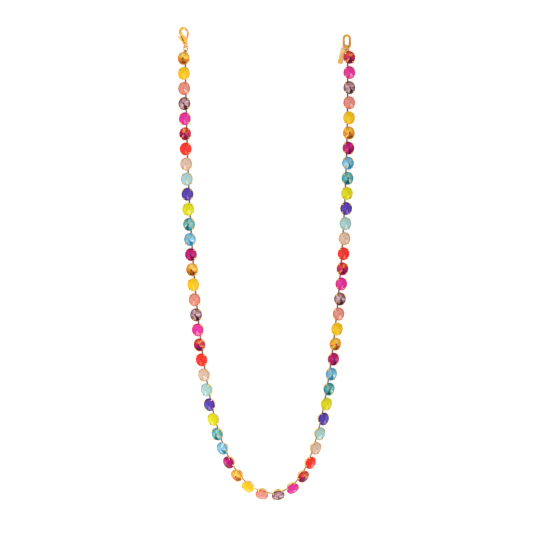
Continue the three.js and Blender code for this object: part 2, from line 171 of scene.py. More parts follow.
# %% Route
CUP_COUNT = 62
PITCH = 10.08
SIDE_GROUPS, BEND_GROUPS = 7, 9
GROUP_SIZES = [3] * SIDE_GROUPS + [2] * BEND_GROUPS + [3] * SIDE_GROUPS
START = Vector((-54.295, 136.965, 0))
START_HEADING = -89.3
BEND_CENTRE, BEND_PEAK, BEND_FALL = 31.07, 29.2, 2.3
BEND_WIDTH_CLASP_SIDE, BEND_WIDTH_RING_SIDE = 2.5, 1.73
BOW_CLASP_SIDE, BOW_RING_SIDE = 0.09, 0.25
LEAN_STRAND, LEAN_BEND_EXTRA, LEAN_WIDTH = 22, 18, 10
CUP_BASE_Z, CUP_BASE_R = -0.7, 3.5


def turn_at_link(k):
    """How many degrees the chain turns at a link; k is halfway between two cup numbers."""
    clasp_side = k < BEND_CENTRE
    width = BEND_WIDTH_CLASP_SIDE if clasp_side else BEND_WIDTH_RING_SIDE
    bow = BOW_CLASP_SIDE if clasp_side else BOW_RING_SIDE
    return bow + BEND_PEAK / (1 + (abs(k - BEND_CENTRE) / width) ** BEND_FALL)


def lean_of_cup(i):
    """How far a cup leans outwards, in radians."""
    extra = LEAN_BEND_EXTRA * math.exp(-(((i - BEND_CENTRE) / LEAN_WIDTH) ** 2))
    return math.radians(LEAN_STRAND + extra)


link_headings, heading = [], START_HEADING
for k in range(CUP_COUNT - 1):
    turn = turn_at_link(k + 0.5)
    link_headings.append(heading + turn / 2)
    heading += turn

cup_places, cup_headings, spot = [], [], START.copy()
for i in range(CUP_COUNT):
    near = link_headings[max(0, i - 1):i + 1] or link_headings[:1]
    cup_headings.append(math.radians(sum(near) / len(near)))
    lean = lean_of_cup(i)
    height = CUP_BASE_R * math.sin(lean) - CUP_BASE_Z * math.cos(lean)
    place = Matrix.Translation((spot.x, spot.y, height))
    cup_places.append(place @ Matrix.Rotation(cup_headings[i], 4, "Z") @ Matrix.Rotation(lean, 4, "X"))
    if i < CUP_COUNT - 1:
        step = math.radians(link_headings[i])
        spot += Vector((math.cos(step), math.sin(step), 0)) * PITCH

group_of_cup = [0]
for number, size in enumerate(GROUP_SIZES, 1):
    group_of_cup += [number] * size
group_of_cup.append(len(GROUP_SIZES) + 1)


def body_of_cup(i):
    """The name of the rigid body that a cup belongs to."""
    if i == 0:
        return "clasp_end_setting"
    if i == CUP_COUNT - 1:
        return "ring_end_setting"
    return f"cup_group_{group_of_cup[i]:02d}"


def point_on(i, x):
    """A point on a cup's own long axis, which runs along the chain."""
    return cup_places[i] @ Vector((x, 0, 0))


PIVOT_R = 2.45
check_joint = next(j for j in frame["joints"] if j["name"] == "chain_link_01_bend")
own_pivot = point_on(1, -PIVOT_R) * MM
print("first pivot differs by", round((Vector(check_joint["pos_m"]) - own_pivot).length * 1000, 3), "mm")

# %% [markdown]
# ## Plated metal
# The cups are pressed from thin brass sheet and barrel-plated with gold, so they are bright with
# soft tumbling marks. The clasp is cast zinc under the same plating and a little smoother. The
# tag is brushed along its length. All of them are one recipe: a metal whose roughness is broken up
# by a noise at the scale of the tumbling media, and a bump of fine marks, drawn coarser than the
# real few hundredths of a millimetre so that they can be seen.

# %% Gold finishes


def plated_metal(name, plate, shaded, rough_low, rough_high, mark_mm, stretch=(1, 1, 1), bump=0.15,
        turn=0.0, tone_by_marks=False):
    """Gold plating; mark_mm is the spacing of its tumbling or brushing marks."""
    material, tree = blank_material(name)
    place = add(tree, "ShaderNodeTexCoord")
    turned = add(tree, "ShaderNodeMapping", {"Vector": place.outputs["Object"], "Rotation": (0, 0, turn),
        "Scale": stretch})
    marks = add(tree, "ShaderNodeTexNoise", {"Vector": turned.outputs[0], "Scale": 1 / (mark_mm * MM),
        "Detail": 3.0, "Roughness": 0.6})
    clouds = add(tree, "ShaderNodeTexNoise", {"Vector": place.outputs["Object"], "Scale": 1 / (2.5 * MM),
        "Detail": 2.0})
    tone_from = marks if tone_by_marks else clouds
    wear = add(tree, "ShaderNodeMapRange", {"Value": tone_from.outputs[0], 1: 0.38, 2: 0.62})
    colour = add(tree, "ShaderNodeMix", {0: wear.outputs[0], 6: linear(plate), 7: linear(shaded)},
        data_type="RGBA")
    rough = add(tree, "ShaderNodeMapRange", {"Value": marks.outputs[0], 1: 0.3, 2: 0.7, 3: rough_low,
        4: rough_high})
    relief = add(tree, "ShaderNodeBump", {"Height": marks.outputs[0], "Strength": bump,
        "Distance": 0.03 * MM})
    metal = add(tree, "ShaderNodeBsdfPrincipled", {"Base Color": colour.outputs[2], "Metallic": 1.0,
        "Roughness": rough.outputs[0], "Normal": relief.outputs[0]})
    add(tree, "ShaderNodeOutputMaterial", {"Surface": metal.outputs[0]})
    return material


TAG_LEAN = 14
stamped_cup_gold = plated_metal("gold_plated_brass_stamped_cup", "#DEC078", "#AA8440", 0.16, 0.34, 0.35)
# The claws are drawn paler and brighter than the cup walls: partly burnished, partly painted highlight.
claw_gold = plated_metal("gold_plated_brass_burnished_claw_and_painted_highlight", "#FFD368", "#F0B244", 0.12, 0.26, 0.30)
wire_gold = plated_metal("gold_plated_brass_drawn_wire", "#EDB64A", "#DDA035", 0.14, 0.28, 0.25)
oval_gold = plated_metal("gold_plated_brass_oval_link", "#E5AC42", "#D99A32", 0.22, 0.36, 0.40)
cast_gold = plated_metal("gold_plated_zinc_cast_clasp", "#FFBE40", "#E89A26", 0.13, 0.27, 0.45)
brushed_gold = plated_metal("gold_plated_brass_brushed_tag", "#E8C486", "#C99A50", 0.34, 0.55, 0.22,
    (1.0, 0.045, 1.0), 0.5, math.radians(TAG_LEAN), True)
pin_steel = plated_metal("steel_pin_spring_and_gap_shade", "#4A463E", "#2E2B26", 0.25, 0.45, 0.20)

# %% [markdown]
# The links lie low between the cups, in their shade, so on the straight runs they look dull and
# brown. Round the bend they lie open to the light and look bright. This shade is painted: one
# number on each link says how much painted shade it gets, and the finish blends from the gold to a
# dark brown painted shade with it.

# %% Link finish
link_gold, tree = blank_material("gold_plated_brass_flat_link")
place = add(tree, "ShaderNodeTexCoord")
painted_shade = add(tree, "ShaderNodeAttribute", attribute_name="painted_shade")
# Noise for the roughness and bump of the marks, which also makes the painted shade patchy.
marks_and_shade_noise = add(tree, "ShaderNodeTexNoise", {"Vector": place.outputs["Object"], "Scale": 1 / (0.6 * MM)})
shade_patches = add(tree, "ShaderNodeMapRange", {"Value": marks_and_shade_noise.outputs[0], 1: 0.35, 2: 0.65, 3: 0.75, 4: 1.0})
painted_shade_mix = add(tree, "ShaderNodeMath", {0: painted_shade.outputs["Fac"], 1: shade_patches.outputs[0]},
    operation="MULTIPLY")
# 4C3D18 is painted shade, the dark brown of the links in the cups' shade.
link_colour = add(tree, "ShaderNodeMix", {0: painted_shade_mix.outputs[0], 6: linear("#BE8A34"), 7: linear("#4C3D18")},
    data_type="RGBA")
link_rough = add(tree, "ShaderNodeMapRange", {"Value": marks_and_shade_noise.outputs[0], 1: 0.3, 2: 0.7, 3: 0.2, 4: 0.4})
link_relief = add(tree, "ShaderNodeBump", {"Height": marks_and_shade_noise.outputs[0], "Strength": 0.2,
    "Distance": 0.02 * MM})
metal = add(tree, "ShaderNodeBsdfPrincipled", {"Base Color": link_colour.outputs[2], "Metallic": 1.0,
    "Roughness": link_rough.outputs[0], "Normal": link_relief.outputs[0]})
add(tree, "ShaderNodeOutputMaterial", {"Surface": metal.outputs[0]})
print("metal finishes:", len([m for m in bpy.data.materials if "gold" in m.name]))

# %% [markdown]
# ## Crystal
# The stones are machine-cut lead-free crystal with a pointed crown. Some are clear glass over a
# mirror foil: their facets show dark and bright wedges and a dark dot at the point. The others are
# sprayed with a lacquer on the back, so they look almost opaque, with a deeper rim. Real refraction
# through foil is slow and noisy, so each facet carries a painted tone instead, and a colour ramp
# turns it into colour: the dark and bright wedges are painted reflections and glints, set by how
# each facet faces on the table. The surface keeps the IOR of glass, 1.54, but its reflection and its
# clear coat are held down, or the wide softbox above would wash the colours out.

# %% Crystal finish
DARTS = 28.0


def cut_crystal(name, tones_and_reflections, rim, heart, foil, spark, rim_amount, heart_size):
    """Cut crystal: tones run from painted dark reflection to painted glint; rim and heart are edge and
    point.
    """
    material, tree = blank_material(name)
    cut = add(tree, "ShaderNodeUVMap", uv_map="cut")
    around_and_out = add(tree, "ShaderNodeSeparateXYZ", {0: cut.outputs[0]})
    facet_tone_and_reflection = add(tree, "ShaderNodeAttribute", attribute_name="tone_and_reflection")
    # The cut of the back shows through the crown as darts, two to a facet.
    turns = add(tree, "ShaderNodeMath", {0: around_and_out.outputs[0], 1: DARTS}, operation="MULTIPLY")
    dart = add(tree, "ShaderNodeMath", {0: turns.outputs[0], 1: 0.5}, operation="PINGPONG")
    reach = add(tree, "ShaderNodeMath", {0: around_and_out.outputs[1], 1: 0.55}, operation="MULTIPLY")
    inside = add(tree, "ShaderNodeMath", {0: dart.outputs[0], 1: reach.outputs[0]}, operation="SUBTRACT")
    shade = add(tree, "ShaderNodeMapRange", {"Value": inside.outputs[0], 1: -0.06, 2: 0.06, 3: -spark,
        4: spark})
    place = add(tree, "ShaderNodeTexCoord")
    cloud = add(tree, "ShaderNodeTexNoise", {"Vector": place.outputs["Object"], "Scale": 1 / (1.6 * MM),
        "Detail": 2.0})
    drift = add(tree, "ShaderNodeMapRange", {"Value": cloud.outputs[0], 1: 0.3, 2: 0.7, 3: -spark * 0.7,
        4: spark * 0.7})
    sum_one = add(tree, "ShaderNodeMath", {0: facet_tone_and_reflection.outputs["Fac"], 1: shade.outputs[0]},
        operation="ADD")
    sum_two = add(tree, "ShaderNodeMath", {0: sum_one.outputs[0], 1: drift.outputs[0]}, operation="ADD")
    ramp = add(tree, "ShaderNodeValToRGB", {0: sum_two.outputs[0]})
    set_ramp(ramp, list(zip((0.0, 0.2, 0.5, 0.78, 1.0), tones_and_reflections)))
    edge = add(tree, "ShaderNodeMapRange", {"Value": around_and_out.outputs[1], 1: 0.68, 2: 0.97, 3: 0.0,
        4: rim_amount}, interpolation_type="SMOOTHSTEP")
    rimmed = add(tree, "ShaderNodeMix", {0: edge.outputs[0], 6: ramp.outputs[0], 7: linear(rim)},
        data_type="RGBA")
    centre = add(tree, "ShaderNodeMapRange", {"Value": around_and_out.outputs[1], 1: heart_size * 0.6,
        2: heart_size, 3: 1.0, 4: 0.0}, interpolation_type="SMOOTHSTEP")
    hearted = add(tree, "ShaderNodeMix", {0: centre.outputs[0], 6: rimmed.outputs[2], 7: linear(heart)},
        data_type="RGBA")
    polish = add(tree, "ShaderNodeTexNoise", {"Vector": place.outputs["Object"], "Scale": 1 / (0.5 * MM)})
    rough = add(tree, "ShaderNodeMapRange", {"Value": polish.outputs[0], 1: 0.3, 2: 0.7, 3: 0.05, 4: 0.14})
    relief = add(tree, "ShaderNodeBump", {"Height": polish.outputs[0], "Strength": 0.05,
        "Distance": 0.01 * MM})
    glass = add(tree, "ShaderNodeBsdfPrincipled", {"Base Color": hearted.outputs[2], "Metallic": foil,
        "Roughness": rough.outputs[0], "IOR": 1.54, "Specular IOR Level": 0.15, "Coat Weight": 0.2,
        "Coat Roughness": 0.02, "Normal": relief.outputs[0]})
    add(tree, "ShaderNodeOutputMaterial", {"Surface": glass.outputs[0]})
    return material


FOILED = dict(foil=0.15, spark=0.14, rim_amount=0.85, heart_size=0.17)
LACQUERED = dict(foil=0.0, spark=0.02, rim_amount=0.9, heart_size=0.16)
# Each ramp runs from a painted dark reflection through the stone's own colours to a painted glint; the next
# two colours are its rim and its point.
CRYSTALS = [
    cut_crystal("foiled_crystal_amber", ("#2A0A02", "#EC7A18", "#FFAE00", "#FFCC00", "#FFF0A0"),
                "#F08A10", "#8A3A10", **FOILED),
    cut_crystal("lacquered_crystal_yellow", ("#DE9C00", "#F4B800", "#FFCC00", "#FFD400", "#FFE87A"),
                "#FAC000", "#FFD428", **LACQUERED),
    cut_crystal("lacquered_crystal_coral", ("#C84A40", "#E4685C", "#EE9687", "#F4B5A8", "#FFDCD2"),
                "#E0604F", "#E2705F", **LACQUERED),
    cut_crystal("foiled_crystal_blush", ("#16060C", "#7C3C4E", "#C08894", "#DDB8C2", "#F8EAEE"),
                "#541628", "#1C070E", **FOILED),
    cut_crystal("lacquered_crystal_rose_pink", ("#B00070", "#E00890", "#F028A2", "#F85CC0", "#FF9ADA"),
                "#E0007F", "#DC1096", **LACQUERED),
    cut_crystal("foiled_crystal_flame", ("#1A0206", "#B00078", "#DC0838", "#F0341C", "#FFC878"),
                "#CC1C3C", "#300410", **FOILED),
    cut_crystal("lacquered_crystal_red", ("#D00010", "#FA1418", "#FF3028", "#FF4A30", "#FF9080"),
                "#FF1420", "#F80A28", **LACQUERED),
    cut_crystal("lacquered_crystal_peach", ("#B8876C", "#D0A188", "#E5C3AC", "#F0D8C6", "#FFF0E4"),
                "#D2A68A", "#D3A88E", **LACQUERED),
    cut_crystal("lacquered_crystal_mint", ("#6FAFA0", "#8FD2BE", "#B2D6D2", "#BCE0EC", "#F2FCFF"),
                "#86C2BC", "#A2C8C6", **LACQUERED),
    cut_crystal("lacquered_crystal_purple", ("#24106A", "#402890", "#5A3CB4", "#7254C6", "#9A84E0"),
                "#321A84", "#40289A", **LACQUERED),
    cut_crystal("lacquered_crystal_lime", ("#B8B400", "#DAD400", "#E9E200", "#F2EE10", "#FAF890"),
                "#D6D000", "#D8D200", **LACQUERED),
    cut_crystal("foiled_crystal_teal", ("#03363C", "#1490A0", "#5AB6AE", "#A4D2C6", "#E2F6F0"),
                "#0C96A6", "#0C4A50", **FOILED),
    cut_crystal("foiled_crystal_light_blue", ("#0E7C9C", "#48A8D0", "#8AC6DC", "#B4DCEA", "#F0FCFF"),
                "#3CA4D2", "#5AAECE", **FOILED),
    cut_crystal("foiled_crystal_fuchsia", ("#4A0028", "#98045A", "#C80876", "#E00C88", "#FF3CB4"),
                "#A00458", "#5A3040", **FOILED),
]
print("crystal colours:", len(CRYSTALS))

# %% [markdown]
# ## Cutting the stones
# A pointed stone has a low cone of fourteen kite facets on top, a row of small triangles round
# them, a thin girdle and a deeper cone below, inside the cup. It is quickest and cleanest to place
# the corners by rule. The facet map runs round the stone in one direction and out from its point
# in the other. The tone of every facet is drawn from a fixed seed and from how the facet faces on
# the table: wedges of painted dark reflection and painted glints for foil, nearly even tones with
# one painted glint for lacquer, and for the two-colour coatings a fan from top to bottom, painted
# by how the facets face, with the same painted wedges.

# %% Stone mesh
FACETS = 14
STONE_R = 4.34
KITE_R = 0.7 * STONE_R
GIRDLE_LOW, GIRDLE_HIGH = 2.66, 2.9
APEX_Z, CULET_Z = 4.25, 0.85
FAN, WEDGE, EVEN = "fan", "wedge", "even"
# Half the width of each kind of wedge, in degrees, by how its facets face: the painted glint on
# lacquer, a second painted glint, the bright painted glint and the dark painted reflection.
FLASH, UPPER_GLINT, BRIGHT, DARK = 17, 14, 13, {FAN: 19, WEDGE: 25}
TONE_STYLE = [FAN, EVEN, EVEN, WEDGE, EVEN, FAN, EVEN, EVEN, EVEN, EVEN, EVEN, WEDGE, WEDGE, WEDGE]


def link_piece(name, mesh, body, finish=None):
    """Adds a finished mesh to the scene and lets it ride on a body."""
    piece = bpy.data.objects.new(name, mesh)
    scene.collection.objects.link(piece)
    if finish:
        mesh.materials.clear()
        mesh.materials.append(finish)
    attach(piece, body)
    return piece


def closed_mesh(bm, name):
    """The mesh of a finished shape, with its faces turned outwards."""
    bmesh.ops.recalc_face_normals(bm, faces=bm.faces)
    mesh = bpy.data.meshes.new(name)
    bm.to_mesh(mesh)
    bm.free()
    return mesh


def facet_tones_and_reflections(style, heading, dice):
    """One tone for each kite facet, with painted reflections and glints by how it faces on the table."""
    # The dark wedge is a painted dark reflection and the bright and upper wedges are painted glints, all
    # kept to their way on the table.
    dark_way = math.radians(-78 + dice.uniform(-28, 28))
    bright_way = dark_way + math.radians(dice.choice((-1, 1)) * dice.uniform(48, 75))
    upper_glint_way = math.radians(dice.uniform(20, 150))
    tones_and_reflections = []
    for k in range(FACETS):
        way = heading + (k + 0.5) * 2 * math.pi / FACETS
        from_dark = abs(math.remainder(way - dark_way, 2 * math.pi))
        from_bright = abs(math.remainder(way - bright_way, 2 * math.pi))
        from_upper_glint = abs(math.remainder(way - upper_glint_way, 2 * math.pi))
        if style == EVEN:
            # A lacquered stone gets one painted glint, on the side of the dark wedge.
            flash = 0.45 if from_dark < math.radians(FLASH) else 0.0
            tones_and_reflections.append(0.5 + 0.05 * math.sin(way) + dice.uniform(-0.05, 0.05) + flash)
            continue
        tone_and_reflection = 0.52 + dice.uniform(-0.17, 0.17)
        if style == FAN:
            # The fan paints the colour from the top of the table to the bottom, by how each facet faces.
            tone_and_reflection = 0.44 + 0.36 * math.sin(way) + dice.uniform(-0.1, 0.1)
        if from_upper_glint < math.radians(UPPER_GLINT):
            tone_and_reflection += 0.15
        if from_bright < math.radians(BRIGHT):
            tone_and_reflection = 0.88
        if from_dark < math.radians(DARK[style]):
            tone_and_reflection = 0.03
        tones_and_reflections.append(tone_and_reflection)
    return tones_and_reflections


def stone_mesh(name, matrix, style, heading, dice):
    """A pointed stone with its facet map and its tones, painted reflections among them."""
    bm = bmesh.new()
    facet_map = bm.loops.layers.uv.new("cut")
    tone_and_reflection_layer = bm.faces.layers.float.new("tone_and_reflection")
    step = 2 * math.pi / FACETS

    def ring(radius, z, count, offset=0.0):
        angle = 2 * math.pi / count
        return [bm.verts.new((radius * math.cos((k + offset) * angle),
            radius * math.sin((k + offset) * angle), z)) for k in range(count)]

    kite_drop = (APEX_Z - GIRDLE_HIGH) * KITE_R * math.cos(step / 2) / STONE_R
    apex = bm.verts.new((0, 0, APEX_Z))
    kites = ring(KITE_R, APEX_Z - kite_drop, FACETS)
    high = ring(STONE_R, GIRDLE_HIGH, 2 * FACETS)
    low = ring(STONE_R, GIRDLE_LOW, 2 * FACETS)
    culet = bm.verts.new((0, 0, CULET_Z))
    tones_and_reflections = facet_tones_and_reflections(style, heading, dice)
    rim_swing = 0.04 if style == EVEN else 0.22
    for k in range(FACETS):
        after, mid = (k + 1) % FACETS, 2 * k + 1
        faces = [([apex, kites[k], high[mid], kites[after]], tones_and_reflections[k]), ([kites[k], high[2 * k], high[mid]],
            tones_and_reflections[k] + dice.uniform(-rim_swing, rim_swing)), ([kites[after], high[mid],
            high[(2 * k + 2) % (2 * FACETS)]], tones_and_reflections[k] + dice.uniform(-rim_swing, rim_swing)), ([culet,
            low[(2 * k + 2) % (2 * FACETS)], low[mid], low[2 * k]], tones_and_reflections[k])]
        for corners, tone_and_reflection in faces:
            face = bm.faces.new(corners)
            face[tone_and_reflection_layer] = min(1.0, max(0.0, tone_and_reflection))
    for k in range(2 * FACETS):
        after = (k + 1) % (2 * FACETS)
        face = bm.faces.new([high[k], low[k], low[after], high[after]])
        face[tone_and_reflection_layer] = min(1.0, max(0.0, tones_and_reflections[k // 2]))
    for face in bm.faces:
        middle = face.calc_center_median()
        own_way = math.atan2(middle.y, middle.x)
        for corner in face.loops:
            spot = corner.vert.co
            out = math.hypot(spot.x, spot.y)
            way = own_way if out < 0.01 else own_way + math.remainder(math.atan2(spot.y, spot.x) - own_way,
                2 * math.pi)
            corner[facet_map].uv = (way / (2 * math.pi) + 1, out / STONE_R)
    mesh = closed_mesh(bm, name)
    mesh.transform(Matrix.Scale(MM, 4) @ matrix)
    return mesh


# %% Set the stones
END_STONES = {0: "clasp_end_stone", CUP_COUNT - 1: "ring_end_stone"}
for i in range(CUP_COUNT):
    dice = random.Random(4000 + i)
    colour = i % len(CRYSTALS)
    name = f"crystal_{i + 1:02d}"
    mesh = stone_mesh(name, cup_places[i], TONE_STYLE[colour], cup_headings[i], dice)
    stone = link_piece(name, mesh, body_of_cup(i), CRYSTALS[colour])
    if i in END_STONES:
        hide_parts(END_STONES[i])
print("stones:", CUP_COUNT, "faces each:", len(mesh.polygons))

# %% [markdown]
# ## Cups and claws
# A cup is a deep-drawn ring of sheet with a scalloped lip and four claws that are pushed over the
# stone. All sixty-two are the same, so this is work for Geometry Nodes: one wall and one claw are
# modelled, the tree sets the claws round the wall, and then it sets the whole cup on every point
# of the chain, turned by the rotation stored on that point.

# %% Wall and claw
WALL_SIDES = 64
LIP_WAVES, LIP_WAVE_HEIGHT, FLUTE_DEPTH = 16, 0.18, 0.11
WALL_PROFILE = [(0, -0.7), (2.7, -0.7), (2.92, -0.62), (3.1, -0.3), (3.44, 0.6), (3.74, 1.4), (3.94, 2.05),
    (4.0, 2.4), (3.9, 2.5), (3.72, 2.42), (3.58, 1.8), (3.2, 0.4), (2.8, -0.4), (0, -0.4)]
CLAW_PATH = [(3.48, 0.6), (3.82, 1.4), (4.12, 2.05), (4.46, 2.7), (4.44, 3.02), (4.16, 3.15), (3.82, 3.25),
    (3.48, 3.36)]
CLAW_WIDTHS = (1.3, 1.2, 1.15, 1.15, 1.15, 1.12, 1.05, 0.7)
CLAW_HALF_THICK = 0.15
CLAW_COUNT = 4


def shade_smooth(mesh, sharp_degrees):
    """Smooth shading that keeps edges sharper than an angle crisp."""
    for polygon in mesh.polygons:
        polygon.use_smooth = True
    mesh.set_sharp_from_angle(angle=math.radians(sharp_degrees))


def skin(bm, rows):
    """Faces from each row of corners to the next; a row of one corner closes an end."""
    for one, two in zip(rows, rows[1:]):
        count = max(len(one), len(two))
        for k in range(count):
            after = (k + 1) % count
            if len(one) == 1:
                bm.faces.new([one[0], two[after], two[k]])
            elif len(two) == 1:
                bm.faces.new([one[k], one[after], two[0]])
            else:
                bm.faces.new([one[k], one[after], two[after], two[k]])


def wall_mesh():
    """One cup wall, a turned profile whose lip and side are gently fluted."""
    bm = bmesh.new()
    rows = []
    for radius, z in WALL_PROFILE:
        if radius == 0:
            rows.append([bm.verts.new((0, 0, z))])
            continue
        lift = max(0.0, (z + 0.4) / 3.0) ** 2
        row = []
        for k in range(WALL_SIDES):
            way = 2 * math.pi * k / WALL_SIDES
            wave = math.cos(LIP_WAVES * way)
            r = radius + FLUTE_DEPTH * lift * wave
            row.append(bm.verts.new((r * math.cos(way), r * math.sin(way), z
                + LIP_WAVE_HEIGHT * lift * wave)))
        rows.append(row)
    skin(bm, rows)
    mesh = closed_mesh(bm, "cup_wall")
    shade_smooth(mesh, 50)
    return mesh


def claw_mesh():
    """One claw, a strip that runs up the wall and folds over the stone, rounded on top."""
    bm = bmesh.new()
    rows = []
    path = [Vector((r, 0, z)) for r, z in CLAW_PATH]
    for n, (point, width) in enumerate(zip(path, CLAW_WIDTHS)):
        along = (path[min(n + 1, len(path) - 1)] - path[max(n - 1, 0)]).normalized()
        out = Vector((along.z, 0, -along.x))
        t = CLAW_HALF_THICK * (0.75 if n == len(path) - 1 else 1.0)
        section = [(-0.5, -t), (-0.5, 0.2 * t), (-0.28, t), (0.28, t), (0.5, 0.2 * t), (0.5, -t)]
        rows.append([bm.verts.new(point + out * o + Vector((0, width * s, 0))) for s, o in section])
    skin(bm, rows)
    bm.faces.new(rows[0])
    bm.faces.new(rows[-1])
    mesh = closed_mesh(bm, "claw")
    shade_smooth(mesh, 60)
    return mesh


wall_object = bpy.data.objects.new("wall_pattern", wall_mesh())
claw_object = bpy.data.objects.new("claw_pattern", claw_mesh())
for pattern in (wall_object, claw_object):
    scene.collection.objects.link(pattern)
print("wall faces:", len(wall_object.data.polygons), "claw faces:", len(claw_object.data.polygons))

# %% Cup tree


def new_tree(name, inputs):
    """A geometry tree with its group nodes; inputs are names and socket types."""
    tree = bpy.data.node_groups.new(name, "GeometryNodeTree")
    tree.interface.new_socket("Geometry", in_out="INPUT", socket_type="NodeSocketGeometry")
    for label, kind in inputs:
        tree.interface.new_socket(label, in_out="INPUT", socket_type="NodeSocket" + kind)
    tree.interface.new_socket("Geometry", in_out="OUTPUT", socket_type="NodeSocketGeometry")
    return tree, add(tree, "NodeGroupInput")


cup_tree, given = new_tree("claw_cups_on_points", [("Wall", "Object"), ("Claw", "Object"), ("Claw count",
    "Int"), ("First claw angle", "Float"), ("Size", "Float"), ("Wall finish", "Material"), ("Claw finish",
    "Material")])
wall = add(cup_tree, "GeometryNodeObjectInfo", {"Object": given.outputs["Wall"]})
claw = add(cup_tree, "GeometryNodeObjectInfo", {"Object": given.outputs["Claw"]})
wall_plated = add(cup_tree, "GeometryNodeSetMaterial", {"Geometry": wall.outputs["Geometry"],
    "Material": given.outputs["Wall finish"]})
claw_plated = add(cup_tree, "GeometryNodeSetMaterial", {"Geometry": claw.outputs["Geometry"],
    "Material": given.outputs["Claw finish"]})
claw_spots = add(cup_tree, "GeometryNodePoints", {"Count": given.outputs["Claw count"]})
number = add(cup_tree, "GeometryNodeInputIndex")
share = add(cup_tree, "ShaderNodeMath", {0: 2 * math.pi, 1: given.outputs["Claw count"]},
    operation="DIVIDE")
angle = add(cup_tree, "ShaderNodeMath", {0: number.outputs[0], 1: share.outputs[0],
    2: given.outputs["First claw angle"]}, operation="MULTIPLY_ADD")
spin = add(cup_tree, "ShaderNodeCombineXYZ", {"Z": angle.outputs[0]})
claws = add(cup_tree, "GeometryNodeInstanceOnPoints", {"Points": claw_spots.outputs[0],
    "Instance": claw_plated.outputs[0], "Rotation": spin.outputs[0]})
whole_cup = add(cup_tree, "GeometryNodeJoinGeometry")
for part in (wall_plated.outputs[0], claws.outputs[0]):
    cup_tree.links.new(part, whole_cup.inputs[0])
turn_on_point = add(cup_tree, "GeometryNodeInputNamedAttribute", {"Name": "turn"}, data_type="QUATERNION")
cups = add(cup_tree, "GeometryNodeInstanceOnPoints", {"Points": given.outputs["Geometry"],
    "Instance": whole_cup.outputs[0], "Rotation": turn_on_point.outputs[0], "Scale": given.outputs["Size"]})
made = add(cup_tree, "GeometryNodeRealizeInstances", {0: cups.outputs[0]})
add(cup_tree, "NodeGroupOutput", {0: made.outputs[0]})


def grow(name, tree, base, values):
    """Runs a tree on a base mesh and returns the result as a plain mesh."""
    holder = bpy.data.objects.new(name + "_base", base)
    scene.collection.objects.link(holder)
    modifier = holder.modifiers.new("tree", "NODES")
    modifier.node_group = tree
    names = {item.name: item.identifier for item in tree.interface.items_tree if item.item_type == "SOCKET"
        and item.in_out == "INPUT"}
    for label, value in values.items():
        modifier[names[label]] = value
    depsgraph = bpy.context.evaluated_depsgraph_get()
    mesh = bpy.data.meshes.new_from_object(holder.evaluated_get(depsgraph))
    mesh.name = name
    bpy.data.objects.remove(holder)
    return mesh


def marked_points(name, matrices, extras=None):
    """A mesh of bare points that store their turn, in metres, for a tree to build on."""
    mesh = bpy.data.meshes.new(name + "_points")
    mesh.from_pydata([matrix.translation * MM for matrix in matrices], [], [])
    turns = mesh.attributes.new("turn", "QUATERNION", "POINT")
    for slot, matrix in zip(turns.data, matrices):
        slot.value = matrix.to_quaternion()
    for label, numbers in (extras or {}).items():
        layer = mesh.attributes.new(label, "FLOAT", "POINT")
        for slot, number in zip(layer.data, numbers):
            slot.value = number
    return mesh


# %% Set the cups
SETTINGS_BY_BODY = {}
for i in range(CUP_COUNT):
    SETTINGS_BY_BODY.setdefault(body_of_cup(i), []).append(i)
CAD_CUPS = {"clasp_end_setting": "clasp_end_cup", "ring_end_setting": "ring_end_cup"}
for body, cup_numbers in SETTINGS_BY_BODY.items():
    name = "claw_cups_" + body
    base = marked_points(name, [cup_places[i] for i in cup_numbers])
    mesh = grow(name, cup_tree, base, {"Wall": wall_object, "Claw": claw_object, "Claw count": CLAW_COUNT,
        "First claw angle": math.pi / 4, "Size": MM, "Wall finish": stamped_cup_gold,
        "Claw finish": claw_gold})
    piece = link_piece(name, mesh, body)
    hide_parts(CAD_CUPS.get(body, body))
print("cup pieces:", len(SETTINGS_BY_BODY), "faces in the last:", len(mesh.polygons), "finishes:",
    [m.name for m in mesh.materials])
for pattern in (wall_object, claw_object):
    bpy.data.objects.remove(pattern)

# %% [markdown]
# ## Links between the cups
# Each link is a little bar with a head at both ends, snapped into a slot of either cup. The tree
# draws a line, swells it towards its ends, flattens it, and sets it on the middle of every gap.
# Links inside a rigid group go into one piece for that body, and each of the others is the piece
# that moves on its own. The drawn cups have no slots: a link's head simply runs on into the wall.

# %% Link tree
LINK_HALF_WIDTH, LINK_HALF_THICK, LINK_HEAD = 0.5, 0.26, 1.7
LINK_STATIONS, LINK_SIDES = 13, 10

link_tree, given = new_tree("bar_links_on_points", [("Length", "Float"), ("Half width", "Float"),
    ("Half thickness", "Float"), ("Head swell", "Float"), ("Finish", "Material")])
half = add(link_tree, "ShaderNodeMath", {0: given.outputs["Length"], 1: 0.5}, operation="MULTIPLY")
minus_half = add(link_tree, "ShaderNodeMath", {0: half.outputs[0], 1: -1.0}, operation="MULTIPLY")
start = add(link_tree, "ShaderNodeCombineXYZ", {"X": minus_half.outputs[0]})
end = add(link_tree, "ShaderNodeCombineXYZ", {"X": half.outputs[0]})
line = add(link_tree, "GeometryNodeCurvePrimitiveLine", {"Start": start.outputs[0], "End": end.outputs[0]})
stations = add(link_tree, "GeometryNodeResampleCurve", {"Curve": line.outputs[0], "Count": LINK_STATIONS})
along = add(link_tree, "GeometryNodeSplineParameter")
centred = add(link_tree, "ShaderNodeMath", {0: along.outputs[0], 1: 0.5}, operation="SUBTRACT")
from_middle = add(link_tree, "ShaderNodeMath", {0: centred.outputs[0]}, operation="ABSOLUTE")
swell = add(link_tree, "ShaderNodeMapRange", {"Value": from_middle.outputs[0], 1: 0.34, 2: 0.45, 3: 1.0,
    4: given.outputs["Head swell"]}, interpolation_type="SMOOTHSTEP")
